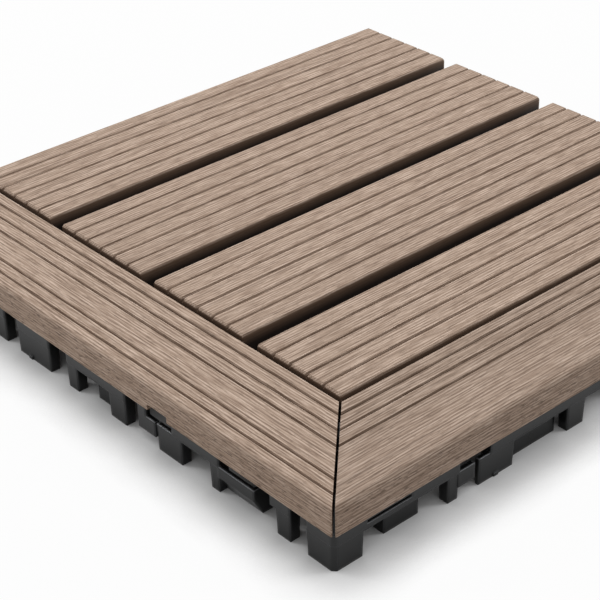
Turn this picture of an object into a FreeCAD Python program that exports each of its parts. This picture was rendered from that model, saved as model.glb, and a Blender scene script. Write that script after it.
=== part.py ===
import FreeCAD, Part
import os
import Sketcher

# Interlocking deck tile, corner piece, in millimetres.
# A black moulded base stands on its feet at Z = 0. Two mitred border boards and four
# grooved slats of wood-plastic composite lie on it, held by screws from below.
# X runs along the front border, Y along the left border, and the origin is the centre
# of the tile's square footprint on the ground.

doc = FreeCAD.newDocument("deck_tile")

# Driving sizes
sheet = doc.addObject("Spreadsheet::Sheet", "Sizes")
SIZES = [
    ("ridge_pitch", 9.6, "one ridge and one groove of a slat"),
    ("ridges_narrow", 5, "ridges on the slat beside the front border"),
    ("ridges_wide", 6, "ridges on each other slat"),
    ("slat_gap", 8.8, "gap between slats"),
    ("board_gap", 3.2, "gap between the front border and the first slat"),
    ("end_gap", 3.0, "gap between the left border and the slat ends"),
    ("joint_gap", 2.0, "gap to the boards of the next tile"),
    ("board_width", 45.2, "width of a border board"),
    ("mitre_gap", 1.5, "gap in the mitred corner"),
    ("plank_thick", 13.0, "thickness of slats and border boards"),
    ("groove_top", 2.0, "groove width at the surface"),
    ("groove_floor", 1.0, "groove width at its floor"),
    ("groove_deep", 1.5, "groove depth"),
    ("board_groove_top", 1.5, "border groove width at the surface"),
    ("board_groove_floor", 0.8, "border groove width at its floor"),
    ("board_groove_deep", 1.2, "border groove depth"),
    ("inner_groove", 6.0, "first border groove from the inner edge"),
    ("inner_groove_pitch", 6.95, "spacing of the three inner grooves"),
    ("outer_groove", 5.75, "outer border groove from the outer face"),
    ("outer_groove_pitch", 5.95, "spacing of the two outer grooves"),
    ("slat_round", 1.2, "rounding of a slat's long top edges"),
    ("end_bevel", 1.2, "bevel at the slat ends"),
    ("board_round", 3.0, "rounding of the border's outer top edge"),
    ("board_inner_round", 0.8, "rounding of the border's inner top edge"),
    ("mitre_ease", 0.8, "easing of the mitre's sharp end"),
    ("base_height", 16.5, "height of the moulded base"),
    ("base_inset", 0.5, "base behind the border's outer face"),
    ("grid_depth", 5.0, "height of the lattice and of the rim"),
    ("rim_width", 10.0, "rim from the outer face to the first cells"),
    ("rim_wall", 2.2, "thickness of the rim's outer wall"),
    ("rim_flange", 2.0, "thickness of the flange behind the rim's outer wall"),
    ("gap_deep", 4.5, "depth of the breaks in the rim"),
    ("cell_count", 10, "lattice cells along one side"),
    ("grid_rib", 2.4, "thickness of a lattice rib"),
    ("draft", 1.5, "moulding draft of the feet in degrees"),
    ("corner_foot", 14.6, "side of the corner feet"),
    ("post_side", 10.0, "side of an inner foot at the ground"),
    ("post_wall", 1.8, "wall of an inner foot"),
    ("post_floor", 2.0, "floor of an inner foot"),
    ("foot_deep", 4.8, "depth of the rim feet"),
    ("far_foot_wide", 10.0, "width of the feet on the two far sides"),
    ("foot_step", 0.5, "rim feet behind the rim's face at the ground"),
    ("socket_pitch", 140.0, "spacing of the sockets along one side"),
    ("socket_wall_top", 12.2, "top of the socket walls above ground"),
    ("hanging_foot", 5.2, "lower end of the hanging socket walls"),
    ("scoop_from", 43.4, "start of the scoop from the corner"),
    ("scoop_wide", 20.6, "width of the scoop"),
    ("scoop_top", 12.2, "top of the scoop's wall above ground"),
    ("scoop_lip", 7.4, "height where the scoop's wall starts to slope inwards"),
    ("scoop_slope", 4.1, "how far the scoop's wall slopes inwards"),
    ("scoop_thick", 1.8, "thickness of the scoop's wall"),
    ("nub_high", 1.6, "height of the small nubs on two rim feet"),
    ("corner_bevel", 1.6, "bevel of the base's upright corner edges"),
    ("low_bar_behind", 4.2, "low bars behind the outer face"),
    ("low_bar_thick", 1.8, "thickness of the low bars"),
    ("low_bar_top", 7.2, "top of the low bars above ground"),
    ("slot_from", 16.6, "start of the long slot in the front rim"),
    ("slot_long", 22.0, "length of the long slot"),
    ("slot_low", 13.9, "lower edge of the long slot above ground"),
    ("slot_high", 1.5, "height of the long slot"),
    ("notch_height", 2.7, "height of the notches in the left border"),
    ("notch_deep", 4.5, "depth of the notches in the left border"),
    ("notch_edge", 2.1, "notch edge past the socket's edge"),
    ("tab_wide", 10.8, "width of a connecting tab"),
    ("tab_reach", 5.4, "how far a tab reaches past the tile"),
    ("tab_thick", 3.6, "thickness of a tab's arm"),
    ("tab_hook", 2.2, "thickness of a tab's hook"),
    ("tab_hook_foot", 6.0, "lower end of a tab's hook above ground"),
    ("screw_pad", 10.4, "side of the solid pad round a screw"),
    ("screw_hole", 4.2, "side of the square screw holes in the base"),
    ("screw_head", 3.5, "radius of a screw head"),
    ("screw_head_high", 2.2, "height of a screw head"),
    ("screw_shank", 1.75, "radius of a screw shank"),
    ("screw_length", 14.0, "screw length under its head"),
    ("pilot_clearance", 0.05, "room round a screw in its pilot hole"),
    ("pilot_spare", 0.8, "pilot hole past the screw's tip"),
]
for row, (alias, value, note) in enumerate(SIZES, start=1):
    sheet.set("A%d" % row, note)
    sheet.set("B%d" % row, str(value))
    sheet.setAlias("B%d" % row, alias)

# Rim features, as start and width from the tile's corner. They are cells too.
LEFT_FEET = {
    "left_toe": (24.0, 7.0),
    "left_bar_post": (63.8, 4.6),
    "left_socket_foot": (86.2, 14.4),
    "left_mid_foot": (121.6, 10.1),
    "left_rail_foot": (154.0, 6.4),
    "left_block": (173.5, 22.5),
    "left_far_toe": (206.0, 9.0),
    "left_end_foot": (264.0, 10.0),
}
FRONT_FEET = {
    "front_post": (57.8, 5.0),
    "front_block": (74.2, 18.6),
    "front_mid_foot": (124.3, 9.4),
    "front_far_foot": (160.0, 12.0),
    "front_end_foot": (258.0, 10.0),
}
HANGING = {"left_hanger": (101.8, 10.8), "front_hanger": (62.6, 8.8)}
LEFT_GAPS = {
    "left_gap_one": (14.6, 9.4),
    "left_gap_two": (34.4, 29.4),
    "left_socket": (91.4, 16.2),
    "left_gap_three": (112.6, 9.0),
    "left_gap_four": (160.6, 12.9),
    "left_gap_five": (196.0, 10.0),
}
FRONT_GAPS = {
    "front_socket": (63.4, 16.6),
    "front_gap_one": (172.0, 12.0),
    "front_gap_two": (236.0, 10.0),
}
LOW_BARS = {
    "left_inner_bar": (131.0, 14.0),
    "front_bar": (28.6, 17.4),
    "front_inner_bar": (94.0, 26.8),
}
NUBS = {"left_block_nub": (186.8, 2.4), "front_block_nub": (82.2, 2.4)}
SOCKET_PARTS = ("left_socket_foot", "left_hanger", "left_socket",
                "front_post", "front_block", "front_hanger", "front_socket")
row = len(SIZES) + 1
for table in (LEFT_FEET, FRONT_FEET, HANGING, LEFT_GAPS, FRONT_GAPS, LOW_BARS, NUBS):
    for name, (start, width) in table.items():
        for alias, value in ((name + "_from", start), (name + "_wide", width)):
            sheet.set("B%d" % row, str(value))
            sheet.setAlias("B%d" % row, alias)
            row += 1
doc.recompute()


def size(alias):
    """The expression that reads one cell of the sheet."""
    return "Sizes." + alias


# Sizes worked out from the driving ones, as expressions
NARROW = "(Sizes.ridges_narrow * Sizes.ridge_pitch)"
WIDE = "(Sizes.ridges_wide * Sizes.ridge_pitch)"
FIRST_SLAT = "(Sizes.board_width + Sizes.board_gap)"
SLAT_STARTS = [FIRST_SLAT]
SLAT_WIDTHS = [NARROW, WIDE, WIDE, WIDE]
for width in SLAT_WIDTHS[:-1]:
    SLAT_STARTS.append("(%s + %s + Sizes.slat_gap)" % (SLAT_STARTS[-1], width))
TILE = "(%s + %s + Sizes.slat_gap / 2)" % (SLAT_STARTS[-1], WIDE)
BOARD_END = "(%s - Sizes.joint_gap / 2)" % TILE
SLAT_X = "(Sizes.board_width + Sizes.end_gap)"
SLAT_LENGTH = "(%s - %s)" % (BOARD_END, SLAT_X)
MITRE = "(Sizes.mitre_gap / sqrt(2))"
CELL_PITCH = "((%s - 2 * Sizes.rim_width + Sizes.grid_rib) / Sizes.cell_count)" % TILE
CELL = "(%s - Sizes.grid_rib)" % CELL_PITCH
GRID_BOTTOM = "(Sizes.base_height - Sizes.grid_depth)"
FACE = "Sizes.base_inset"
FAR_FACE = "(%s - Sizes.base_inset)" % TILE
PILOT_DEEP = "(Sizes.screw_length - Sizes.grid_depth + Sizes.pilot_spare)"
PILOT = "(Sizes.screw_shank + Sizes.pilot_clearance)"


def number(expression):
    """The value of an expression over the sheet, as a plain number."""
    value = sheet.evalExpression(expression)
    return float(getattr(value, "Value", value))


def new_body(label):
    """A body whose own origin is the tile's corner on the ground."""
    body = doc.addObject("PartDesign::Body", label)
    body.Label = label
    body.setExpression("Placement.Base.x", "-%s / 2" % TILE)
    body.setExpression("Placement.Base.y", "-%s / 2" % TILE)
    return body


def plane(body, role):
    for feature in body.Origin.OriginFeatures:
        if feature.Role == role:
            return feature


def new_sketch(body, name, role="XY_Plane", height=None):
    """A sketch on an origin plane, lifted along the plane's normal."""
    sketch = body.newObject("Sketcher::SketchObject", name)
    sketch.AttachmentSupport = [(plane(body, role), "")]
    sketch.MapMode = "FlatFace"
    if height is not None:
        sketch.setExpression("AttachmentOffset.Base.z", height)
    return sketch


def draw(sketch, outlines=(), circles=()):
    """Draws closed outlines and circles, given as expressions, and ties them to the sheet."""
    shapes, rules = [], []

    def pin(geometry, vertex, x, y):
        for kind, place in (("DistanceX", x), ("DistanceY", y)):
            rule = Sketcher.Constraint(kind, -1, 1, geometry, vertex, number(place))
            rules.append((rule, place))

    for corners in outlines:
        first = len(shapes)
        spots = [FreeCAD.Vector(number(x), number(y), 0) for x, y in corners]
        count = len(spots)
        for i in range(count):
            after = (i + 1) % count
            shapes.append(Part.LineSegment(spots[i], spots[after]))
            joint = Sketcher.Constraint("Coincident", first + i, 2, first + after, 1)
            rules.append((joint, None))
            pin(first + i, 1, *corners[i])
    for x, y, radius in circles:
        centre = FreeCAD.Vector(number(x), number(y), 0)
        shapes.append(Part.Circle(centre, FreeCAD.Vector(0, 0, 1), number(radius)))
        pin(len(shapes) - 1, 3, x, y)
        rule = Sketcher.Constraint("Radius", len(shapes) - 1, number(radius))
        rules.append((rule, radius))
    sketch.addGeometry(shapes, False)
    sketch.addConstraint([rule for rule, place in rules])
    for index, (rule, place) in enumerate(rules):
        if place is not None:
            sketch.setExpression("Constraints[%d]" % index, place)


def box(left, low, right, high):
    """The corners of a rectangle."""
    return [(left, low), (right, low), (right, high), (left, high)]


def pad(body, name, sketch, length, reverse=False):
    feature = body.newObject("PartDesign::Pad", name)
    feature.Profile = sketch
    feature.Reversed = reverse
    feature.setExpression("Length", length)
    doc.recompute()
    return feature


def pocket(body, name, sketch, length=None, reverse=False):
    """Cuts a sketch, by a length along the chosen side or through all both ways."""
    before = body.Shape.Volume
    feature = body.newObject("PartDesign::Pocket", name)
    feature.Profile = sketch
    feature.Reversed = reverse
    if length is None:
        feature.Type = "ThroughAll"
        feature.Midplane = True
    else:
        feature.setExpression("Length", length)
    doc.recompute()
    if feature.Shape.Volume >= before - 1e-6:
        raise RuntimeError("%s cuts nothing" % name)
    return feature


def edges_where(shape, test):
    """Names of the straight edges whose two ends pass a test."""
    names = []
    for i, edge in enumerate(shape.Edges, start=1):
        ends = [vertex.Point for vertex in edge.Vertexes]
        if len(ends) == 2 and test(*ends):
            names.append("Edge%d" % i)
    return names


def near(a, b):
    return abs(a - b) < 1e-4


def round_edges(body, name, names, radius):
    tip = body.Tip
    feature = body.newObject("PartDesign::Fillet", name)
    feature.Base = (tip, names)
    feature.setExpression("Radius", radius)
    doc.recompute()
    return feature


def bevel_edges(body, name, names, amount):
    tip = body.Tip
    feature = body.newObject("PartDesign::Chamfer", name)
    feature.Base = (tip, names)
    feature.setExpression("Size", amount)
    doc.recompute()
    return feature


def rib_line(count):
    """Middle of a lattice rib, counted from the rim."""
    return "(Sizes.rim_width - Sizes.grid_rib / 2 + %d * %s)" % (count, CELL_PITCH)


def screw_places():
    """Plan position of each screw: on a rib, measured from the tile's corner."""
    ribs = [rib_line(2), rib_line(8)]
    slats = [(rib, "(%s + %s / 2)" % (start, width))
             for start, width in zip(SLAT_STARTS, SLAT_WIDTHS) for rib in ribs]
    middle = "(Sizes.board_width / 2)"
    return slats, [(middle, rib) for rib in ribs], [(rib, middle) for rib in ribs]


SLAT_SCREWS, LEFT_SCREWS, FRONT_SCREWS = screw_places()


# Slats: one grooved plank, padded along X, bevelled at its ends
def groove(centre, top, floor, deep, surface):
    """A groove's section: wider at the surface than at its floor."""
    return [
        ("%s - %s / 2" % (centre, top), surface),
        ("%s - %s / 2" % (centre, floor), "%s - %s" % (surface, deep)),
        ("%s + %s / 2" % (centre, floor), "%s - %s" % (surface, deep)),
        ("%s + %s / 2" % (centre, top), surface),
    ]


def make_slat(index):
    start, width = SLAT_STARTS[index], SLAT_WIDTHS[index]
    body = new_body("slat_%d" % (index + 1))
    top = "(Sizes.base_height + Sizes.plank_thick)"
    outline = new_sketch(body, "slat_section_%d" % index, "YZ_Plane", SLAT_X)
    draw(outline, [box(start, size("base_height"), "(%s + %s)" % (start, width), top)])
    plank = pad(body, "slat_plank_%d" % index, outline, SLAT_LENGTH)
    roof = number(top)
    ends = edges_where(plank.Shape, lambda a, b: near(a.z, roof) and near(b.z, roof)
                       and near(a.x, b.x))
    bevel = bevel_edges(body, "slat_bevel_%d" % index, ends, size("end_bevel"))
    sides = (number(start), number("%s + %s" % (start, width)))
    longs = edges_where(bevel.Shape, lambda a, b: near(a.z, roof) and near(b.z, roof)
                        and near(a.y, b.y) and min(abs(a.y - s) for s in sides) < 1e-4)
    round_edges(body, "slat_round_%d" % index, longs, size("slat_round"))
    cut = new_sketch(body, "slat_groove_%d" % index, "YZ_Plane")
    count = int(number("%s / Sizes.ridge_pitch" % width) + 0.5)
    centres = ["(%s + %d * Sizes.ridge_pitch)" % (start, i) for i in range(1, count)]
    draw(cut, [groove(centre, size("groove_top"), size("groove_floor"), size("groove_deep"), top)
               for centre in centres])
    pocket(body, "slat_grooves_%d" % index, cut)
    pilots = new_sketch(body, "slat_pilots_%d" % index, "XY_Plane", size("base_height"))
    draw(pilots, circles=[(x, y, PILOT) for x, y in SLAT_SCREWS[2 * index:2 * index + 2]])
    pocket(body, "slat_pilot_holes_%d" % index, pilots, PILOT_DEEP, reverse=True)
    return body


# Border boards: a grooved plank with a rounded outer edge, sawn to a mitre at the corner
def make_board(label, along_y, grooves, screws):
    body = new_body(label)
    top = "(Sizes.base_height + Sizes.plank_thick)"
    role = "XZ_Plane" if along_y else "YZ_Plane"
    outline = new_sketch(body, label + "_section", role)
    draw(outline, [box("0", size("base_height"), size("board_width"), top)])
    plank = pad(body, label + "_plank", outline, BOARD_END, reverse=along_y)
    roof = number(top)
    wide = number(size("board_width"))

    def long_edge(shape, across):
        return edges_where(shape, lambda a, b: near(a.z, roof) and near(b.z, roof) and all(
            near(point.x if along_y else point.y, across) for point in (a, b)))

    outer = long_edge(plank.Shape, 0)
    edge = round_edges(body, label + "_outer_round", outer, size("board_round"))
    inner = long_edge(edge.Shape, wide)
    round_edges(body, label + "_inner_round", inner, size("board_inner_round"))
    cut = new_sketch(body, label + "_groove", role)
    draw(cut, [groove(centre, size("board_groove_top"), size("board_groove_floor"),
                      size("board_groove_deep"), top) for centre in grooves])
    pocket(body, label + "_grooves", cut)
    saw = new_sketch(body, label + "_mitre", "XY_Plane")
    mitre = [("0", "0"), (size("board_width"), "0"),
             (size("board_width"), "(Sizes.board_width + %s)" % MITRE),
             (size("mitre_ease"), "(Sizes.mitre_ease + %s)" % MITRE),
             ("0", "(2.4 * Sizes.mitre_ease + %s)" % MITRE)]
    draw(saw, [mitre if along_y else [(y, x) for x, y in mitre]])
    pocket(body, label + "_mitre_cut", saw)
    pilots = new_sketch(body, label + "_pilots", "XY_Plane", size("base_height"))
    draw(pilots, circles=[(x, y, PILOT) for x, y in screws])
    pocket(body, label + "_pilot_holes", pilots, PILOT_DEEP, reverse=True)
    return body


INNER_GROOVES = ["(Sizes.board_width - Sizes.inner_groove - %d * Sizes.inner_groove_pitch)" % i
                 for i in range(3)]
OUTER_GROOVES = ["(Sizes.outer_groove + %d * Sizes.outer_groove_pitch)" % i for i in range(2)]

left_board = make_board("border_board_left", True, INNER_GROOVES + OUTER_GROOVES, LEFT_SCREWS)
notch = new_sketch(left_board, "socket_notch", "XY_Plane", size("base_height"))
NOTCH_START = "(Sizes.left_socket_from + Sizes.notch_edge + %s)"
NOTCH_STOP = "(Sizes.left_socket_from + Sizes.left_socket_wide - Sizes.notch_edge + %s)"
draw(notch, [box("0", NOTCH_START % shift, size("notch_deep"), NOTCH_STOP % shift)
             for shift in ("0", size("socket_pitch"))])
pocket(left_board, "socket_notch_cut", notch, size("notch_height"), reverse=True)
front_board = make_board("border_board_front", False, INNER_GROOVES, FRONT_SCREWS)
slats = [make_slat(index) for index in range(4)]


# Base. It is put together from its plate, feet and walls, less the cells of its
# lattice, which leave what stands under the plate alone, and less its openings.
RUN = "((Sizes.cell_count - 1) * %s)" % CELL_PITCH
CELL_FAR = "(Sizes.rim_width + %s)" % CELL
RIM_NEAR = "(Sizes.base_inset + Sizes.rim_wall)"
RIM_INNER = "(Sizes.rim_width - Sizes.grid_rib)"
FAR_RIM_INNER = "(%s - %s)" % (TILE, RIM_INNER)
FAR_RIM_NEAR = "(%s - %s)" % (TILE, RIM_NEAR)
WIDTH = size("rim_width")
SCREWS = SLAT_SCREWS + LEFT_SCREWS + FRONT_SCREWS


def shifts(name):
    """Where along its side a rim feature stands: sockets come twice."""
    return ("0", size("socket_pitch")) if name in SOCKET_PARTS else ("0",)


def rim_boxes(names, near_side, far_side):
    """Outlines of named rim features, between two depths behind the outer face."""
    outlines = []
    for name in names:
        for shift in shifts(name):
            start = "(Sizes.%s_from + %s)" % (name, shift)
            stop = "(Sizes.%s_from + Sizes.%s_wide + %s)" % (name, name, shift)
            if name.startswith("left"):
                outlines.append(box(near_side, start, far_side, stop))
            else:
                outlines.append(box(start, near_side, stop, far_side))
    return outlines


def square(x, y, side):
    half = "%s / 2" % side
    return box("(%s - %s)" % (x, half), "(%s - %s)" % (y, half),
               "(%s + %s)" % (x, half), "(%s + %s)" % (y, half))


def spread(body, name, features, length, count, roles):
    """Copies features along one or two of the body's axes."""
    pattern = body.newObject("PartDesign::LinearPattern", name)
    pattern.Originals = features
    pattern.Direction = (plane(body, roles[0]), [""])
    pattern.setExpression("Length", length)
    pattern.setExpression("Occurrences", count)
    if len(roles) == 2:
        pattern.Direction2 = (plane(body, roles[1]), [""])
        pattern.setExpression("Length2", length)
        pattern.setExpression("Occurrences2", count)
    body.Tip = pattern
    doc.recompute()


def rise(body, name, outlines, bottom, top):
    """Pads outlines on the ground plan from one height to another."""
    sketch = new_sketch(body, name + "_plan", "XY_Plane", bottom)
    draw(sketch, outlines)
    return pad(body, name, sketch, "(%s - %s)" % (top, bottom))


def draft_sides(body, name):
    """Gives the body's upright faces draft: they lean out from the ground up."""
    tip = body.Tip
    upright = ["Face%d" % i for i, face in enumerate(tip.Shape.Faces, start=1)
               if abs(face.normalAt(0, 0).z) < 0.5]
    feature = body.newObject("PartDesign::Draft", name)
    feature.Base = (tip, upright)
    feature.NeutralPlane = (plane(body, "XY_Plane"), [""])
    feature.Reversed = True
    feature.setExpression("Angle", "Sizes.draft * 1 deg")
    doc.recompute()


def bevel_corners(body, name, faces):
    """Bevels the upright edges at a square body's four outer corners."""
    lines = [number(face) for face in faces]
    upright = edges_where(body.Tip.Shape, lambda a, b: near(a.x, b.x) and near(a.y, b.y) and
                          any(near(a.x, x) for x in lines) and any(near(a.y, y) for y in lines))
    bevel_edges(body, name, upright, size("corner_bevel"))


TOP = size("base_height")

# The plate, with breaks in its rim and a channel behind the rim's outer wall
plate = new_body("plate")
rise(plate, "plate_pad", [box(FACE, FACE, FAR_FACE, FAR_FACE)], GRID_BOTTOM, TOP)
bevel_corners(plate, "plate_bevel", (FACE, FAR_FACE))
gap_plan = new_sketch(plate, "rim_gap_plan", "XY_Plane", GRID_BOTTOM)
draw(gap_plan, rim_boxes(list(LEFT_GAPS) + list(FRONT_GAPS), "0", size("gap_deep")))
pocket(plate, "rim_gaps", gap_plan)
channel_plan = new_sketch(plate, "channel_plan", "XY_Plane", GRID_BOTTOM)
draw(channel_plan, [[
    (RIM_NEAR, RIM_NEAR), (FAR_RIM_NEAR, RIM_NEAR), (FAR_RIM_NEAR, RIM_INNER),
    (RIM_INNER, RIM_INNER), (RIM_INNER, FAR_RIM_NEAR), (RIM_NEAR, FAR_RIM_NEAR)]])
pocket(plate, "rim_channel", channel_plan, "(Sizes.grid_depth - Sizes.rim_flange)",
       reverse=True)

# The rim's feet have draft: they narrow towards the ground
FOOT_FACE = "(Sizes.base_inset + Sizes.foot_step)"
FOOT_BACK = "(Sizes.base_inset + Sizes.foot_deep)"
FAR_FOOT_FACE = "(%s - %s)" % (TILE, FOOT_FACE)
FAR_FOOT_BACK = "(%s - %s)" % (TILE, FOOT_BACK)
CORNER_ENDS = ((FOOT_FACE, size("corner_foot")),
               ("(%s - Sizes.corner_foot)" % TILE, FAR_FOOT_FACE))
far_feet = []
for twelfth in (3, 5, 7, 9):
    start = "(%s / 12 * %d - Sizes.far_foot_wide / 2)" % (TILE, twelfth)
    stop = "(%s / 12 * %d + Sizes.far_foot_wide / 2)" % (TILE, twelfth)
    far_feet += [box(FAR_FOOT_BACK, start, FAR_FOOT_FACE, stop),
                 box(start, FAR_FOOT_BACK, stop, FAR_FOOT_FACE)]
corners = [box(left, low, right, high)
           for left, right in CORNER_ENDS for low, high in CORNER_ENDS]
foot_bodies = []
for name, outlines in (
        ("left_feet", rim_boxes(LEFT_FEET, FOOT_FACE, FOOT_BACK)),
        ("front_feet", rim_boxes(FRONT_FEET, FOOT_FACE, FOOT_BACK)),
        ("corner_feet", corners),
        ("far_feet", far_feet)):
    body = new_body(name)
    rise(body, name + "_pad", outlines, "0", TOP)
    if name == "corner_feet":
        bevel_corners(body, name + "_bevel", (FOOT_FACE, FAR_FOOT_FACE))
    draft_sides(body, name + "_draft")
    foot_bodies.append(body)

# Inner feet: cups with draft under crossings of the lattice, staggered from row to row
FOOT_LINES = [rib_line(count) for count in (1, 3, 5, 7, 9)]
FOOT_PLACES = [(x, y) for column, x in enumerate(FOOT_LINES) for row, y in enumerate(FOOT_LINES)
               if (column + row) % 2 == 0]
inner_feet = new_body("inner_feet")
rise(inner_feet, "posts", [square(x, y, size("post_side")) for x, y in FOOT_PLACES], "0", TOP)
draft_sides(inner_feet, "post_draft")
cup_plan = new_sketch(inner_feet, "cup_plan", "XY_Plane", size("post_floor"))
draw(cup_plan, [square(x, y, "(Sizes.post_side - 2 * Sizes.post_wall)")
                for x, y in FOOT_PLACES])
pocket(inner_feet, "cups", cup_plan, TOP, reverse=True)

# Walls: low bars near the ground with webs to the rim's inner rib, hanging walls beside
# the sockets, solid pads for the screws, a scoop whose wall slopes in towards the ground,
# and on the two far sides the tabs, each an arm and a hook
walls = new_body("walls")
BAR_FACE = "(Sizes.base_inset + Sizes.low_bar_behind)"
BAR_BACK = "(%s + Sizes.low_bar_thick)" % BAR_FACE
webs = []
for name in LOW_BARS:
    for start in ("(Sizes.%s_from)" % name,
                  "(Sizes.%s_from + Sizes.%s_wide - Sizes.low_bar_thick)" % (name, name)):
        stop = "(%s + Sizes.low_bar_thick)" % start
        if name.startswith("left"):
            webs.append(box(BAR_FACE, start, WIDTH, stop))
        else:
            webs.append(box(start, BAR_FACE, stop, WIDTH))
rise(walls, "low_bars", rim_boxes(LOW_BARS, BAR_FACE, BAR_BACK), "0", size("low_bar_top"))
rise(walls, "bar_webs", webs, "0", "(Sizes.base_height - Sizes.grid_depth / 2)")
rise(walls, "hangers", rim_boxes(HANGING, FACE, RIM_NEAR), size("hanging_foot"), TOP)
rise(walls, "screw_pads", [square(x, y, size("screw_pad")) for x, y in SCREWS],
     GRID_BOTTOM, TOP)
SCOOP_BACK = "(Sizes.base_inset + Sizes.scoop_thick)"
SCOOP_FACE = [(FACE, size("scoop_top")), (FACE, size("scoop_lip")),
              ("(Sizes.base_inset + Sizes.scoop_slope)", "0")]
for name, back, length in (
        ("scoop", [("(%s + Sizes.scoop_slope)" % SCOOP_BACK, "0"),
                   (SCOOP_BACK, size("scoop_lip")), (SCOOP_BACK, size("scoop_top"))],
         size("scoop_wide")),
        ("scoop_end", [(WIDTH, "0"), (WIDTH, size("scoop_top"))], size("scoop_thick"))):
    section = new_sketch(walls, name + "_section", "XZ_Plane", "-Sizes.scoop_from")
    draw(section, [SCOOP_FACE + back])
    pad(walls, name, section, length, reverse=True)
rise(walls, "nubs", rim_boxes(NUBS, FACE, FOOT_BACK), "0", size("nub_high"))
TAB_FAR = "(%s + Sizes.tab_reach + Sizes.base_inset)" % TILE
HOOK_NEAR = "(%s - Sizes.tab_hook)" % TAB_FAR
SOCKET_MIDDLE = "(Sizes.%s_socket_from + Sizes.%s_socket_wide / 2 + %s)"


def tab_boxes(near_side):
    outlines = []
    for side in ("left", "front"):
        for shift in ("0", size("socket_pitch")):
            middle = SOCKET_MIDDLE % (side, side, shift)
            start = "(%s - Sizes.tab_wide / 2)" % middle
            stop = "(%s + Sizes.tab_wide / 2)" % middle
            if side == "left":
                outlines.append(box(near_side, start, TAB_FAR, stop))
            else:
                outlines.append(box(start, near_side, stop, TAB_FAR))
    return outlines


rise(walls, "tab_arms", tab_boxes(FAR_RIM_NEAR), "(Sizes.base_height - Sizes.tab_thick)", TOP)
rise(walls, "tab_hooks", tab_boxes(HOOK_NEAR), size("tab_hook_foot"), TOP)

# The lattice's cells: a square field of them, and a row behind each of the two far rims
cells = new_body("cells")
for name, outline, roles in (
        ("far_cell", box(FAR_RIM_INNER, WIDTH, FAR_RIM_NEAR, CELL_FAR), ("Y_Axis",)),
        ("back_cell", box(WIDTH, FAR_RIM_INNER, CELL_FAR, FAR_RIM_NEAR), ("X_Axis",)),
        ("cell", box(WIDTH, WIDTH, CELL_FAR, CELL_FAR), ("X_Axis", "Y_Axis"))):
    first = rise(cells, name, [outline], GRID_BOTTOM, TOP)
    spread(cells, name + "s", [first], RUN, size("cell_count"), roles)

# Openings: socket windows and chambers, the long slot, and the screws' holes
openings = new_body("openings")
SOCKETS = ("left_socket", "front_socket")
rise(openings, "socket_windows", rim_boxes(SOCKETS, "0", RIM_INNER),
     size("socket_wall_top"), TOP)
rise(openings, "socket_chambers", rim_boxes(SOCKETS, RIM_NEAR, RIM_INNER), "0", TOP)
rise(openings, "long_slot",
     [box(size("slot_from"), "0", "(Sizes.slot_from + Sizes.slot_long)", RIM_NEAR)],
     size("slot_low"), "(Sizes.slot_low + Sizes.slot_high)")
rise(openings, "screw_holes", [square(x, y, size("screw_hole")) for x, y in SCREWS],
     "0", TOP)


def join(name, shapes):
    union = doc.addObject("Part::MultiFuse", name)
    union.Shapes = shapes
    union.Refine = False
    return union


def cut(name, kept, taken, refine=False):
    result = doc.addObject("Part::Cut", name)
    result.Base = kept
    result.Tool = taken
    result.Refine = refine
    return result


fittings = join("fittings", foot_bodies + [inner_feet, walls])
lattice = cut("lattice", plate, cells)
moulding = join("moulding", [lattice, fittings])
base = cut("base", moulding, openings, refine=True)
base.Label = "base"
doc.recompute()


# Screws: one turned shape, copied to each place as one group of solids
def make_screws():
    radius, head = number(size("screw_shank")), number(size("screw_head"))
    high, length = number(size("screw_head_high")), number(size("screw_length"))
    outline = [(0, -high), (head, -high), (head, 0), (radius, 0),
               (radius, length - 2 * radius), (0, length), (0, -high)]
    wire = Part.makePolygon([FreeCAD.Vector(r, 0, z) for r, z in outline])
    turned = Part.Face(wire).revolve(FreeCAD.Vector(), FreeCAD.Vector(0, 0, 1), 360)
    seat = number(GRID_BOTTOM)
    copies = []
    for x, y in SCREWS:
        copy = turned.copy()
        copy.translate(FreeCAD.Vector(number(x), number(y), seat))
        copies.append(copy)
    group = doc.addObject("Part::Feature", "fixing_screws")
    group.Label = "fixing_screws"
    group.Shape = Part.makeCompound(copies)
    half = -number(TILE) / 2
    group.Placement = FreeCAD.Placement(FreeCAD.Vector(half, half, 0), FreeCAD.Rotation())
    return group


screws = make_screws()
doc.recompute()

# Nothing is written before every object and every sub-part's shape has passed
pieces = [base, left_board, front_board] + slats + [screws]
for item in doc.Objects:
    if "Invalid" in item.State or "Error" in item.State:
        raise RuntimeError("%s failed: %s" % (item.Name, item.State))
for piece in pieces:
    shape = piece.Shape
    if shape.isNull() or not shape.isValid():
        raise RuntimeError("%s has no valid shape" % piece.Label)
    box = shape.BoundBox
    print("%-20s solids %2d faces %4d volume %9.0f box %s" % (
        piece.Label, len(shape.Solids), len(shape.Faces), shape.Volume,
        [round(v, 2) for v in (box.XMin, box.YMin, box.ZMin, box.XMax, box.YMax, box.ZMax)]))

os.makedirs("parts", exist_ok=True)
for piece in pieces:
    piece.Shape.exportStep("parts/%s.step" % piece.Label)
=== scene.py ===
# %% [markdown]
# # An interlocking deck tile
#
# The real object is a 300 mm square of wood-plastic boards screwed to a black moulded base.
# This lesson dresses its measured frame: the boards and slats are rebuilt with soft groove
# lips and brushed faces, the base gets its moulded plastic, and the screws get real heads.
# Everything is in metres and stands where the frame says.

# %% Load the frame
import math

import bmesh
import bpy
from mathutils import Matrix, Vector


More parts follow.
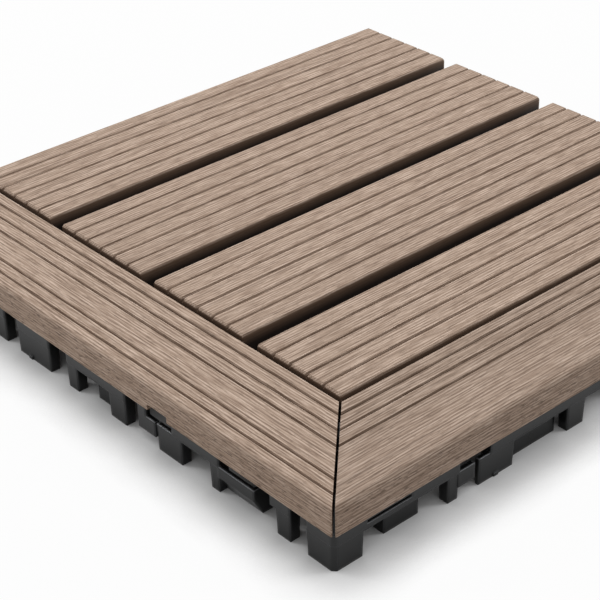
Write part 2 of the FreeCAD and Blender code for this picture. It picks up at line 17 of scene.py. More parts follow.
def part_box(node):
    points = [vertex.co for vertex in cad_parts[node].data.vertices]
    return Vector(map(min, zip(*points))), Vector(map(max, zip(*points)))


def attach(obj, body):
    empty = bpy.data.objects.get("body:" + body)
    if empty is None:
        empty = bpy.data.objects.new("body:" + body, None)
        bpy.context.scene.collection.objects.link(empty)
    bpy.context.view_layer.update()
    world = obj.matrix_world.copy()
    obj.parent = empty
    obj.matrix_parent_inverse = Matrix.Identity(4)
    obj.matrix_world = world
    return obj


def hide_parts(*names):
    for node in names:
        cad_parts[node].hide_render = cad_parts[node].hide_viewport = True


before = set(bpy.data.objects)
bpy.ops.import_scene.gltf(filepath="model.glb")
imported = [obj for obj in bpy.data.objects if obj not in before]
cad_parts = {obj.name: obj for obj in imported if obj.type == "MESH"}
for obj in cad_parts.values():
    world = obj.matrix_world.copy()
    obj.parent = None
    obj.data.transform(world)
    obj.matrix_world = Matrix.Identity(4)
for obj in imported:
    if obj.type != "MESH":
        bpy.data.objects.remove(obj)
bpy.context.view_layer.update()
MM = 0.001

# %% Where the planks lie
LEFT_LO, LEFT_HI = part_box("border_board_left")
FRONT_LO, FRONT_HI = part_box("border_board_front")
CORNER = Vector((LEFT_LO.x, FRONT_LO.y, LEFT_LO.z))
SURFACE = LEFT_HI.z
PLANK = SURFACE - LEFT_LO.z
print("plank", round(PLANK / MM, 2), "mm thick, corner", [round(v, 4) for v in CORNER])

# %% [markdown]
# ## Helpers
#
# Colours are picked as sRGB hex, the way a colour chart gives them, and the renderer wants
# linear light, so one function converts them. One more adds a node with its settings and
# links, for materials and for Geometry Nodes alike, and the last starts an empty material.


# %% Helpers
def linear(hex_colour):
    """An sRGB hex colour as linear RGBA."""
    parts = [int(hex_colour[i:i + 2], 16) / 255 for i in (1, 3, 5)]
    return [p / 12.92 if p <= 0.04045 else ((p + 0.055) / 1.055) ** 2.4 for p in parts] + [1]


def add(tree, kind, links=None, **settings):
    """Adds a node. Each input is linked where a socket is given, and set where a value is."""
    made = tree.nodes.new(kind)
    for name, value in settings.items():
        setattr(made, name, value)
    for key, value in (links or {}).items():
        if isinstance(value, bpy.types.NodeSocket):
            tree.links.new(value, made.inputs[key])
        else:
            made.inputs[key].default_value = value
    return made


def new_material(name):
    """An empty node material and its tree."""
    material = bpy.data.materials.new(name)
    material.use_nodes = True
    material.node_tree.nodes.clear()
    return material, material.node_tree


print("sRGB #808080 is", round(linear("#808080")[0], 3), "in linear light")

# %% [markdown]
# ## Wood-plastic composite
#
# The boards are extruded from wood flour in polyethylene, then brushed with wire along
# their length. The brush combs fine lines into them and opens hair-fine scratches about a
# centimetre long, over a faint mottling, and leaves the surface dull. The combed lines are
# a sine wave across the board, which a slow noise lets drift, and noises stretched along
# the board make the rest, and the dark flecks where wood fibre shows. A long scratch lies
# where a slow noise passes through its middle value, which gives a thin line of even
# width. All read Object coordinates, so they run on through every face of a board. Lines
# and hairs are drawn about twice as wide as real ones, so that they show at this distance.

# %% Colours and grain
PALE, MIDDLE, DEEP, FLECK = "#CAB4A3", "#A7907E", "#7F6857", "#4F3D30"
# Painted shade: brown in the grooves and below the edge of a side in a gap, black lower down
SHADE_BROWN, SHADE = "#5C4636", "#150C07"
# Width, length, detail and offset of each pattern
GRAIN = {
    "hairs": (0.48 * MM, 11 * MM, 1.0, 0.0),
    "scratches": (1.6 * MM, 450 * MM, 0.0, 11.0),
    "mottle": (6 * MM, 60 * MM, 1.0, 17.0),
    "flecks": (0.45 * MM, 3.5 * MM, 1.0, 23.0)}
GRAIN_ROUGHNESS = 0.6


def grain_patterns(tree, place, along, shift):
    """The noises of the finish, each stretched along the board."""
    patterns = {}
    for name, (wide, long, detail, offset) in GRAIN.items():
        scale = [1 / wide, 1 / wide, 1 / wide]
        scale[along] = 1 / long
        stretched = add(tree, "ShaderNodeMapping", {
            "Vector": place, "Scale": scale, "Location": [shift + offset] * 3})
        patterns[name] = add(tree, "ShaderNodeTexNoise", {
            "Vector": stretched.outputs[0], "Scale": 1.0, "Detail": detail,
            "Roughness": GRAIN_ROUGHNESS}).outputs["Fac"]
    return patterns


print(len(GRAIN), "grain patterns")

# %% The brushed face
COMB_PITCH, COMB_SHARE, COMB_DRIFT = 1.4 * MM, 0.12, 9.0
MOTTLE_SHARE = 0.05
DEEP_AT, MIDDLE_AT, PALE_AT = 0.27, 0.5, 0.73
SCRATCH_LEVEL, SCRATCH_BAND, SCRATCH_SHARE = 0.5, 0.035, 0.22


def brushed_colour(tree, grain, girth):
    """Combed lines and hairs over a faint mottling, crossed by long thin scratches."""
    drift = add(tree, "ShaderNodeMath", {0: grain["mottle"], 1: COMB_DRIFT},
                operation="MULTIPLY")
    phase = add(tree, "ShaderNodeMath", {
        0: girth, 1: 2 * math.pi / COMB_PITCH, 2: drift.outputs[0]},
        operation="MULTIPLY_ADD")
    wave = add(tree, "ShaderNodeMath", {0: phase.outputs[0]}, operation="SINE")
    combed = add(tree, "ShaderNodeMath", {
        0: wave.outputs[0], 1: COMB_SHARE, 2: grain["hairs"]}, operation="MULTIPLY_ADD")
    blend = add(tree, "ShaderNodeMix", {
        "Factor": MOTTLE_SHARE, "A": combed.outputs[0], "B": grain["mottle"]},
        data_type="FLOAT")
    ramp = add(tree, "ShaderNodeValToRGB", {"Fac": blend.outputs[0]})
    ramp.color_ramp.elements[0].position = DEEP_AT
    ramp.color_ramp.elements[0].color = linear(DEEP)
    ramp.color_ramp.elements[1].position = PALE_AT
    ramp.color_ramp.elements[1].color = linear(PALE)
    middle = ramp.color_ramp.elements.new(MIDDLE_AT)
    middle.color = linear(MIDDLE)
    on_line = add(tree, "ShaderNodeMath", {
        0: grain["scratches"], 1: SCRATCH_LEVEL, 2: SCRATCH_BAND}, operation="COMPARE")
    faint = add(tree, "ShaderNodeMath", {0: on_line.outputs[0], 1: SCRATCH_SHARE},
                operation="MULTIPLY")
    scratched = add(tree, "ShaderNodeMix", {
        "Factor": faint.outputs[0], "A": ramp.outputs[0], "B": linear(FLECK)},
        data_type="RGBA")
    return scratched.outputs[2]


# %% Sides and flecks
# Painted shade on the sides: where it starts and is full below the surface, and how strong it
# is
SIDE_FROM, SIDE_FULL, SIDE_SHADE_SHARE = 1.2 * MM, 2.5 * MM, 0.28
FLECK_FROM, FLECK_FULL = 0.58, 0.64
FLECK_SHARE, FLECK_GAIN = 0.3, 1.3


def shaded_fibrous_colour(tree, grain, height, colour):
    """Below the edge the sides get painted shade, deeper in colour, and more wood fibre shows
    there in flecks.
    """
    on_side = add(tree, "ShaderNodeMapRange", {
        "Value": height, "From Min": SURFACE - SIDE_FULL, "From Max": SURFACE - SIDE_FROM,
        "To Min": SIDE_SHADE_SHARE, "To Max": 0.0})
    # Painted shade: the sides are mixed towards the deep colour
    side_shaded = add(tree, "ShaderNodeMix", {
        "Factor": on_side.outputs[0], "A": colour, "B": linear(DEEP)}, data_type="RGBA")
    share = add(tree, "ShaderNodeMath", {
        0: on_side.outputs[0], 1: FLECK_GAIN, 2: FLECK_SHARE}, operation="MULTIPLY_ADD")
    mask = add(tree, "ShaderNodeMapRange", {
        "Value": grain["flecks"], "From Min": FLECK_FROM, "From Max": FLECK_FULL,
        "To Min": 0.0, "To Max": share.outputs[0]})
    shaded_flecked = add(tree, "ShaderNodeMix", {
        "Factor": mask.outputs[0], "A": side_shaded.outputs[2], "B": linear(FLECK)},
        data_type="RGBA")
    return shaded_flecked.outputs[2]


# %% Grooves
GROOVE_FROM, GROOVE_FULL = 0.4 * MM, 1.2 * MM
PLAIN_STRIP, FIRST_GROOVE = 3.4 * MM, 3.8 * MM
END_FROM, END_FULL = 1.2 * MM, 0.9 * MM


def groove_mask(tree, across, lengthwise, height, sides, far_end, groove_shade):
    """Painted shade in the grooves, but not beside a long side or on the free end."""
    depth = add(tree, "ShaderNodeMapRange", {
        "Value": height, "From Min": SURFACE - GROOVE_FULL,
        "From Max": SURFACE - GROOVE_FROM, "To Min": groove_shade, "To Max": 0.0})
    from_low = add(tree, "ShaderNodeMath", {0: across, 1: sides[0]}, operation="SUBTRACT")
    from_high = add(tree, "ShaderNodeMath", {0: sides[1], 1: across}, operation="SUBTRACT")
    least = add(tree, "ShaderNodeMath", {0: from_low.outputs[0], 1: from_high.outputs[0]},
                operation="MINIMUM")
    inside = add(tree, "ShaderNodeMapRange", {
        "Value": least.outputs[0], "From Min": PLAIN_STRIP, "From Max": FIRST_GROOVE})
    off_end = add(tree, "ShaderNodeMapRange", {
        "Value": lengthwise, "From Min": far_end - END_FROM, "From Max": far_end - END_FULL,
        "To Min": inside.outputs[0], "To Max": 0.0})
    return add(tree, "ShaderNodeMath", {0: depth.outputs[0], 1: off_end.outputs[0]},
               operation="MULTIPLY").outputs[0]


# %% Sides in a gap
# Depth below the surface where each painted shade starts and is full, and how strong it is
GAP_BROWN_SHADE = (0.7 * MM, 1.6 * MM, 0.9)
GAP_BLACK_SHADE = (1.4 * MM, 6.0 * MM, 0.97)
GAP_FADE = 1 * MM


def gap_masks(tree, across, lengthwise, height, gap, far_end):
    """Painted shade on a side in a gap, where hardly any light comes: how brown and how black.
    """
    in_gap = 1.0
    for coordinate, limit, rising in ((across, gap[0], True), (across, gap[1], False),
                                      (lengthwise, far_end, False),
                                      (height, SURFACE - PLANK, True)):
        inward = add(tree, "ShaderNodeMapRange", {
            "Value": coordinate, "From Min": limit if rising else limit - GAP_FADE,
            "From Max": limit + GAP_FADE if rising else limit,
            "To Min": 0.0 if rising else 1.0, "To Max": 1.0 if rising else 0.0})
        in_gap = add(tree, "ShaderNodeMath", {0: in_gap, 1: inward.outputs[0]},
                     operation="MULTIPLY").outputs[0]
    masks = []
    for start, full, share in (GAP_BROWN_SHADE, GAP_BLACK_SHADE):
        below = add(tree, "ShaderNodeMapRange", {
            "Value": height, "From Min": SURFACE - full, "From Max": SURFACE - start,
            "To Min": share, "To Max": 0.0})
        masks.append(add(tree, "ShaderNodeMath", {0: below.outputs[0], 1: in_gap},
                         operation="MULTIPLY").outputs[0])
    return masks


# %% The whole finish
BRUSH_RELIEF, BRUSH_STRENGTH = 0.05 * MM, 0.8
SMOOTHEST, ROUGHEST = 0.55, 0.8


def composite(name, along, sides, gap, far_end, shift, tone, groove_shade):
    """Brushed composite with its grain along X (0) or Y (1).

    sides are the places of the two long sides, gap the stretch across the board whose
    sides stand in a gap and get painted shade, and far_end its free end. shift moves the
    pattern so that no two boards are alike, tone multiplies the colour of the whole board,
    which paints shade on the front board, and groove_shade is how dark the painted shade in
    its grooves is.
    """
    material, tree = new_material(name)
    place = add(tree, "ShaderNodeTexCoord").outputs["Object"]
    axes = add(tree, "ShaderNodeSeparateXYZ", {"Vector": place})
    across = axes.outputs["X" if along else "Y"]
    lengthwise = axes.outputs["Y" if along else "X"]
    height = axes.outputs["Z"]
    girth = add(tree, "ShaderNodeMath", {0: across, 1: height})
    grain = grain_patterns(tree, place, along, shift)
    brushed = brushed_colour(tree, grain, girth.outputs[0])
    shaded_flecked = shaded_fibrous_colour(tree, grain, height, brushed)
    in_groove = groove_mask(tree, across, lengthwise, height, sides, far_end, groove_shade)
    brown, black = gap_masks(tree, across, lengthwise, height, gap, far_end)

    # Painted shade: grooves and the upper part of a side in a gap turn brown, and that side
    # blackens lower down
    painted_shade = add(tree, "ShaderNodeMath", {0: in_groove, 1: brown}, operation="MAXIMUM")
    brown_shaded = add(tree, "ShaderNodeMix", {
        "Factor": painted_shade.outputs[0], "A": shaded_flecked, "B": linear(SHADE_BROWN)}, data_type="RGBA")
    shaded = add(tree, "ShaderNodeMix", {
        "Factor": black, "A": brown_shaded.outputs[2], "B": linear(SHADE)}, data_type="RGBA")
    # Painted shade: the tone darkens a whole board, here the front board
    toned = add(tree, "ShaderNodeMix", {
        "Factor": 1.0, "A": shaded.outputs[2], "B": (tone, tone, tone, 1.0)},
        data_type="RGBA", blend_type="MULTIPLY")
    rough = add(tree, "ShaderNodeMapRange", {
        "Value": grain["hairs"], "To Min": SMOOTHEST, "To Max": ROUGHEST})
    bump = add(tree, "ShaderNodeBump", {
        "Height": grain["hairs"], "Strength": BRUSH_STRENGTH, "Distance": BRUSH_RELIEF})
    shader = add(tree, "ShaderNodeBsdfPrincipled", {
        "Base Color": toned.outputs[2], "Roughness": rough.outputs[0],
        "Normal": bump.outputs[0], "IOR": 1.5, "Specular IOR Level": 0.3})
    add(tree, "ShaderNodeOutputMaterial", {"Surface": shader.outputs[0]})
    print(name, len(tree.nodes), "nodes")
    return material


# %% [markdown]
# ## Moulded polypropylene
#
# The base is one black injection moulding. Its outer faces have a fine spark-eroded
# texture from the mould, so they are satin rather than glossy. The mould's corners are
# never quite sharp, and a Bevel node gives the soft corner to the shading alone. Thin walls
# get a painted highlight, a light line along their upper edges: a second, finer Bevel node
# finds the edges, where its normal leaves the face's own, and the line is painted there.
# Ambient occlusion keeps the line out of inner corners.

# %% Painted edge highlights
LINE_RADIUS, LINE_RAYS = 0.9 * MM, 8
UPPER_FROM, UPPER_FULL, LOWER_SHARE = 0.1, 0.4, 0.15
EDGE_FULL, EDGE_NONE = 0.82, 0.98
CORNER_REACH, CORNER_RAYS = 3 * MM, 6
CORNER_FROM, CORNER_CLEAR = 0.6, 0.85


def painted_edge_highlight(tree):
    """How much painted highlight an edge gets: most where it faces up, and none in a corner.
    """
    line = add(tree, "ShaderNodeBevel", {"Radius": LINE_RADIUS}, samples=LINE_RAYS)
    face = add(tree, "ShaderNodeNewGeometry").outputs["Normal"]
    turned_by = add(tree, "ShaderNodeVectorMath", {0: line.outputs[0], 1: face},
                    operation="DOT_PRODUCT")
    rising = add(tree, "ShaderNodeSeparateXYZ", {"Vector": line.outputs[0]})
    upper = add(tree, "ShaderNodeMapRange", {
        "Value": rising.outputs["Z"], "From Min": UPPER_FROM, "From Max": UPPER_FULL,
        "To Min": LOWER_SHARE, "To Max": 1.0})
    on_edge = add(tree, "ShaderNodeMapRange", {
        "Value": turned_by.outputs["Value"], "From Min": EDGE_FULL, "From Max": EDGE_NONE,
        "To Min": upper.outputs[0], "To Max": 0.0})
    openness = add(tree, "ShaderNodeAmbientOcclusion", {"Distance": CORNER_REACH},
                   samples=CORNER_RAYS)
    outer = add(tree, "ShaderNodeMapRange", {
        "Value": openness.outputs["AO"], "From Min": CORNER_FROM, "From Max": CORNER_CLEAR})
    return add(tree, "ShaderNodeMath", {0: on_edge.outputs[0], 1: outer.outputs[0]},
               operation="MULTIPLY").outputs[0]


# %% Moulded polypropylene
# The third colour is the painted highlight along upper edges
PLASTIC, PLASTIC_WORN, EDGE_HIGHLIGHT = "#0A0B0B", "#121314", "#7C7E82"
CLOUD = 18 * MM
SPARK_GRAIN, SPARK_RELIEF, SPARK_STRENGTH = 0.35 * MM, 0.05 * MM, 0.25
EDGE_RADIUS, EDGE_RAYS = 1.8 * MM, 8
SATIN, DULL = 0.22, 0.38


def moulded_plastic():
    """Black polypropylene with a satin mould texture, and a painted highlight along its upper
    edges.
    """
    material, tree = new_material("moulded_polypropylene")
    place = add(tree, "ShaderNodeTexCoord").outputs["Object"]
    cloud = add(tree, "ShaderNodeTexNoise", {
        "Vector": place, "Scale": 1 / CLOUD, "Detail": 3.0})
    grain = add(tree, "ShaderNodeTexNoise", {
        "Vector": place, "Scale": 1 / SPARK_GRAIN, "Detail": 1.0})
    colour = add(tree, "ShaderNodeMix", {
        "Factor": cloud.outputs["Fac"], "A": linear(PLASTIC), "B": linear(PLASTIC_WORN)},
        data_type="RGBA")
    rough = add(tree, "ShaderNodeMapRange", {
        "Value": cloud.outputs["Fac"], "To Min": SATIN, "To Max": DULL})
    # Painted highlight: a light line along the upper edges
    highlighted = add(tree, "ShaderNodeMix", {
        "Factor": painted_edge_highlight(tree), "A": colour.outputs[2], "B": linear(EDGE_HIGHLIGHT)},
        data_type="RGBA")
    edge = add(tree, "ShaderNodeBevel", {"Radius": EDGE_RADIUS}, samples=EDGE_RAYS)
    bump = add(tree, "ShaderNodeBump", {
        "Height": grain.outputs["Fac"], "Strength": SPARK_STRENGTH,
        "Distance": SPARK_RELIEF, "Normal": edge.outputs[0]})
    shader = add(tree, "ShaderNodeBsdfPrincipled", {
        "Base Color": highlighted.outputs[2], "Roughness": rough.outputs[0],
        "Normal": bump.outputs[0], "IOR": 1.49, "Specular IOR Level": 0.36})
    add(tree, "ShaderNodeOutputMaterial", {"Surface": shader.outputs[0]})
    return material


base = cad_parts["base"]
base.data.materials.clear()
base.data.materials.append(moulded_plastic())
print("base", len(base.data.polygons), "faces, in", base.data.materials[0].name)

# %% [markdown]
# ## Slats
#
# A slat is a plank with a comb of ridges. The shape follows a rule, so Geometry Nodes
# draw it: a box of fine columns is set out to the slat's length and width, and each
# column is lowered by its groove or by the rounded long edge, whichever cuts deeper, and
# at the ends by a bevel as well. Lowering one closed box keeps the plank watertight. The
# groove rule is the distance to the nearest multiple of the pitch, so the ridges repeat
# by themselves.

# %% Ridges and grooves
RIDGES = {"slat_1": 5, "slat_2": 6, "slat_3": 6, "slat_4": 6}
SLAT_GROOVE = {"Groove Top": 1.7 * MM, "Groove Floor": 0.5 * MM, "Groove Deep": 1.3 * MM}
COLUMN = 0.2 * MM
END_ROWS = 3
print(sum(RIDGES.values()), "ridges on", len(RIDGES), "slats")


# %% A tree's ends
def new_tree(name, sizes, whole=()):
    """A geometry tree with one input for each size, its entry node and its exit node."""
    tree = bpy.data.node_groups.new(name, "GeometryNodeTree")
    tree.interface.new_socket("Geometry", in_out="INPUT", socket_type="NodeSocketGeometry")
    for size in sizes:
        tree.interface.new_socket(size, in_out="INPUT", socket_type="NodeSocketFloat")
    for size in whole:
        tree.interface.new_socket(size, in_out="INPUT", socket_type="NodeSocketInt")
    tree.interface.new_socket("Material", in_out="INPUT", socket_type="NodeSocketMaterial")
    tree.interface.new_socket("Geometry", in_out="OUTPUT", socket_type="NodeSocketGeometry")
    return tree, add(tree, "NodeGroupInput"), add(tree, "NodeGroupOutput")


def end_tree(tree, geometry, given, out):
    """Every tree ends so: copies are made real, and the material is set."""
    real = add(tree, "GeometryNodeRealizeInstances", {"Geometry": geometry})
    coated = add(tree, "GeometryNodeSetMaterial", {
        "Geometry": real.outputs[0], "Material": given.outputs["Material"]})
    tree.links.new(coated.outputs[0], out.inputs[0])


# %% Run a tree
def run_tree(name, tree, values, points=()):
    """Runs a tree, on points where it needs some, and keeps its result as a plain mesh."""
    start = bpy.data.meshes.new(name + "_start")
    start.from_pydata(points, [], [])
    carrier = bpy.data.objects.new(name + "_carrier", start)
    bpy.context.collection.objects.link(carrier)
    modifier = carrier.modifiers.new(name, "NODES")
    modifier.node_group = tree
    for socket in tree.interface.items_tree:
        if socket.in_out == "INPUT" and socket.name in values:
            modifier[socket.identifier] = values[socket.name]
    carrier.update_tag()
    graph = bpy.context.evaluated_depsgraph_get()
    graph.update()
    mesh = bpy.data.meshes.new_from_object(carrier.evaluated_get(graph))
    bpy.data.objects.remove(carrier)
    mesh.name = name
    piece = bpy.data.objects.new(name, mesh)
    bpy.context.collection.objects.link(piece)
    print(name, len(mesh.polygons), "faces")
    return piece


# %% Rules that every plank shares
def fine_box(tree, counts):
    """A closed box of fine columns, and the place of its points as shares from 0 to 1."""
    block = add(tree, "GeometryNodeMeshCube", {"Size": (1, 1, 1), **counts})
    spot = add(tree, "ShaderNodeVectorMath", {
        0: add(tree, "GeometryNodeInputPosition").outputs[0], 1: (0.5, 0.5, 0.5)})
    share = add(tree, "ShaderNodeSeparateXYZ", {0: spot.outputs[0]})
    return block.outputs[0], share.outputs


def groove_cut(tree, get, away):
    """How deep the groove is at a distance from its middle, with soft lips."""
    lip = add(tree, "ShaderNodeMath", {0: get["Groove Top"], 1: 0.5}, operation="MULTIPLY")
    floor = add(tree, "ShaderNodeMath", {0: get["Groove Floor"], 1: 0.5},
                operation="MULTIPLY")
    return add(tree, "ShaderNodeMapRange", {
        "Value": away, "From Min": floor.outputs[0], "From Max": lip.outputs[0],
        "To Min": get["Groove Deep"], "To Max": 0.0},
        interpolation_type="SMOOTHSTEP").outputs[0]


def round_cut(tree, radius, edge):
    """A quarter circle, lowered by r - sqrt(r^2 - (r - e)^2) at a distance e."""
    left = add(tree, "ShaderNodeMath", {0: radius, 1: edge}, operation="SUBTRACT")
    left_over = add(tree, "ShaderNodeMath", {0: left.outputs[0], 1: 0.0},
                    operation="MAXIMUM")
    squared = add(tree, "ShaderNodeMath", {0: left_over.outputs[0], 1: 2.0},
                  operation="POWER")
    whole = add(tree, "ShaderNodeMath", {0: radius, 1: 2.0}, operation="POWER")
    rest = add(tree, "ShaderNodeMath", {0: whole.outputs[0], 1: squared.outputs[0]},
               operation="SUBTRACT")
    root = add(tree, "ShaderNodeMath", {0: rest.outputs[0]}, operation="SQRT")
    return add(tree, "ShaderNodeMath", {0: radius, 1: root.outputs[0]},
               operation="SUBTRACT").outputs[0]


def lowered(tree, get, cut, share):
    """The height of a point: its share of what the cut leaves of the thickness."""
    height = add(tree, "ShaderNodeMath", {0: get["Thickness"], 1: cut},
                 operation="SUBTRACT")
    return add(tree, "ShaderNodeMath", {0: height.outputs[0], 1: share},
               operation="MULTIPLY").outputs[0]


# %% Along a slat
def slat_rows(tree, get, share):
    """Sets the rows out along the slat: a third of them is spent on each end's bevel."""
    middle = add(tree, "ShaderNodeMath", {0: get["End Bevel"], 1: -2.0, 2: get["Length"]},
                 operation="MULTIPLY_ADD")
    first = add(tree, "ShaderNodeMapRange", {
        "Value": share, "From Max": 1 / 3, "To Max": get["End Bevel"]})
    second = add(tree, "ShaderNodeMapRange", {
        "Value": share, "From Min": 1 / 3, "From Max": 2 / 3, "To Max": middle.outputs[0]})
    third = add(tree, "ShaderNodeMapRange", {
        "Value": share, "From Min": 2 / 3, "To Max": get["End Bevel"]})
    inner = add(tree, "ShaderNodeMath", {0: first.outputs[0], 1: second.outputs[0]})
    return add(tree, "ShaderNodeMath", {0: inner.outputs[0], 1: third.outputs[0]}).outputs[0]


def end_cut(tree, get, along):
    """A straight bevel at both ends, and nothing past it."""
    far = add(tree, "ShaderNodeMath", {0: get["Length"], 1: along}, operation="SUBTRACT")
    near = add(tree, "ShaderNodeMath", {0: along, 1: far.outputs[0]}, operation="MINIMUM")
    return add(tree, "ShaderNodeMath", {0: get["End Bevel"], 1: near.outputs[0]},
               operation="SUBTRACT", use_clamp=True).outputs[0]


# %% Across a slat
def comb_cut(tree, get, across):
    """Grooves at whole multiples of the pitch but not along the two sides, which are round."""
    half = add(tree, "ShaderNodeMath", {0: get["Pitch"], 1: 0.5}, operation="MULTIPLY")
    moved = add(tree, "ShaderNodeMath", {0: across, 1: half.outputs[0]})
    nearest = add(tree, "ShaderNodeMath", {0: moved.outputs[0], 1: get["Pitch"]},
                  operation="SNAP")
    aside = add(tree, "ShaderNodeMath", {0: across, 1: nearest.outputs[0]},
                operation="SUBTRACT")
    away = add(tree, "ShaderNodeMath", {0: aside.outputs[0]}, operation="ABSOLUTE")
    groove = groove_cut(tree, get, away.outputs[0])
    other = add(tree, "ShaderNodeMath", {0: get["Width"], 1: across}, operation="SUBTRACT")
    edge = add(tree, "ShaderNodeMath", {0: across, 1: other.outputs[0]},
               operation="MINIMUM")
    is_inner = add(tree, "ShaderNodeMath", {0: edge.outputs[0], 1: half.outputs[0]},
                   operation="GREATER_THAN")
    cut = add(tree, "ShaderNodeMath", {0: groove, 1: is_inner.outputs[0]},
              operation="MULTIPLY")
    rounded = round_cut(tree, get["Side Round"], edge.outputs[0])
    return add(tree, "ShaderNodeMath", {0: cut.outputs[0], 1: rounded},
               operation="MAXIMUM").outputs[0]


# %% The slat's tree
def slat_tree():
    """A plank with a comb of ridges and bevelled ends, at its place in the frame."""
    tree, given, out = new_tree("grooved_slat", (
        "Length", "Width", "Thickness", "Pitch", "Groove Top", "Groove Floor",
        "Groove Deep", "Side Round", "End Bevel", "Start X", "Start Y", "Start Z"),
        ("Columns",))
    get = given.outputs
    block, share = fine_box(tree, {
        "Vertices X": 3 * END_ROWS + 1, "Vertices Y": get["Columns"], "Vertices Z": 2})
    along = slat_rows(tree, get, share[0])
    across = add(tree, "ShaderNodeMath", {0: share[1], 1: get["Width"]},
                 operation="MULTIPLY").outputs[0]
    cut = add(tree, "ShaderNodeMath", {
        0: comb_cut(tree, get, across), 1: end_cut(tree, get, along)})
    local = add(tree, "ShaderNodeCombineXYZ", {
        0: along, 1: across, 2: lowered(tree, get, cut.outputs[0], share[2])})
    start = add(tree, "ShaderNodeCombineXYZ", {
        0: get["Start X"], 1: get["Start Y"], 2: get["Start Z"]})
    final = add(tree, "ShaderNodeVectorMath", {0: local.outputs[0], 1: start.outputs[0]})
    placed = add(tree, "GeometryNodeSetPosition", {
        "Geometry": block, "Position": final.outputs[0]})
    end_tree(tree, placed.outputs[0], given, out)
    return tree


# %% Finish a piece
SHARP = math.radians(32)


def finish_piece(piece, node):
    """Smooth shading with the true edges kept, and the piece's place in the frame."""
    piece.data.shade_smooth()
    piece.data.set_sharp_from_angle(angle=SHARP)
    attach(piece, "root")
    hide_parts(node)


# %% Make the slats
SIDE_ROUND, END_BEVEL = 1.0 * MM, 0.9 * MM
SLAT_GROOVE_SHADE, SLAT_SHIFT = 0.75, 3.7
# Past the tile on any side: a limit that no side of a plank ever reaches
FAR_OFF = 1.0

grooved_slat = slat_tree()
for count, (node, ridges) in enumerate(RIDGES.items()):
    lo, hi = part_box(node)
    # The last slat's far side is the tile's own side, so it stands in no gap
    in_gap = (-FAR_OFF, hi.y if node == "slat_4" else FAR_OFF)
    coat = composite("brushed_composite_" + node, 0, (lo.y, hi.y), in_gap, hi.x,
                     SLAT_SHIFT * count, 1.0, SLAT_GROOVE_SHADE)
    slat = run_tree("ridged_" + node, grooved_slat, {
        "Length": hi.x - lo.x, "Width": hi.y - lo.y, "Thickness": PLANK,
        "Pitch": (hi.y - lo.y) / ridges, "Side Round": SIDE_ROUND, "End Bevel": END_BEVEL,
        "Start X": lo.x, "Start Y": lo.y, "Start Z": lo.z,
        "Columns": round((hi.y - lo.y) / COLUMN) + 1, "Material": coat, **SLAT_GROOVE})
    finish_piece(slat, node)

# %% [markdown]
# ## Border boards
#
# The two border boards are wider planks with fewer grooves, a well rounded outer edge and
# one end sawn at 45 degrees. The same lowered box makes them, with a groove at each of a
# few stated places, and the sawn end comes from sliding each column's start along the
# board by its distance from the outer face. The left board has small notches over the
# sockets, cut by a boolean with one block per notch.

# %% Sizes of the border boards
BOARD = LEFT_HI.x - LEFT_LO.x
BOARD_GROOVE = {"Groove Top": 1.4 * MM, "Groove Floor": 0.7 * MM, "Groove Deep": 1.2 * MM}
INNER_FROM, INNER_PITCH = 6.0 * MM, 6.95 * MM
OUTER_FROM, OUTER_PITCH = 5.75 * MM, 5.95 * MM
INNER_GROOVES = [BOARD - INNER_FROM - INNER_PITCH * i for i in range(3)]
OUTER_GROOVES = [OUTER_FROM + OUTER_PITCH * i for i in range(2)]
GROOVES = {"Groove %d" % (i + 1): place
           for i, place in enumerate(INNER_GROOVES + OUTER_GROOVES)}
MITRE = 0.75 * MM
MITRE_EASE, EASE_SLOPE = 0.35 * MM, 2.4
BOARD_ROWS = 6
NOTCH = {"Notch Start": 93.5 * MM, "Notch Long": 12.0 * MM, "Notch Deep": 4.5 * MM,
         "Notch High": 2.7 * MM, "Notch Pitch": 140 * MM}
print("border board", round(BOARD / MM, 2), "mm wide")


# %% Across a border board
def board_cut(tree, get, across):
    """Grooves at stated places, and two long edges with a radius each."""
    other = add(tree, "ShaderNodeMath", {0: get["Width"], 1: across}, operation="SUBTRACT")
    cuts = []
    for groove in GROOVES:
        aside = add(tree, "ShaderNodeMath", {0: across, 1: get[groove]},
                    operation="SUBTRACT")
        away = add(tree, "ShaderNodeMath", {0: aside.outputs[0]}, operation="ABSOLUTE")
        cuts.append(groove_cut(tree, get, away.outputs[0]))
    cuts.append(round_cut(tree, get["Outer Round"], across))
    cuts.append(round_cut(tree, get["Inner Round"], other.outputs[0]))
    deepest = cuts[0]
    for cut in cuts[1:]:
        deepest = add(tree, "ShaderNodeMath", {0: deepest, 1: cut},
                      operation="MAXIMUM").outputs[0]
    return deepest


# %% Along a border board
def sawn_rows(tree, get, across, share):
    """Rows from the sawn end, which starts later the further in a column lies."""
    sawn = add(tree, "ShaderNodeMath", {0: across, 1: get["Mitre Gap"]})
    short = add(tree, "ShaderNodeMath", {0: get["Mitre Ease"], 1: across},
                operation="SUBTRACT")
    blunt = add(tree, "ShaderNodeMath", {0: short.outputs[0], 1: 0.0}, operation="MAXIMUM")
    start = add(tree, "ShaderNodeMath", {
        0: blunt.outputs[0], 1: EASE_SLOPE, 2: sawn.outputs[0]}, operation="MULTIPLY_ADD")
    run = add(tree, "ShaderNodeMath", {0: get["Length"], 1: start.outputs[0]},
              operation="SUBTRACT")
    return add(tree, "ShaderNodeMath", {
        0: run.outputs[0], 1: share, 2: start.outputs[0]},
        operation="MULTIPLY_ADD").outputs[0]


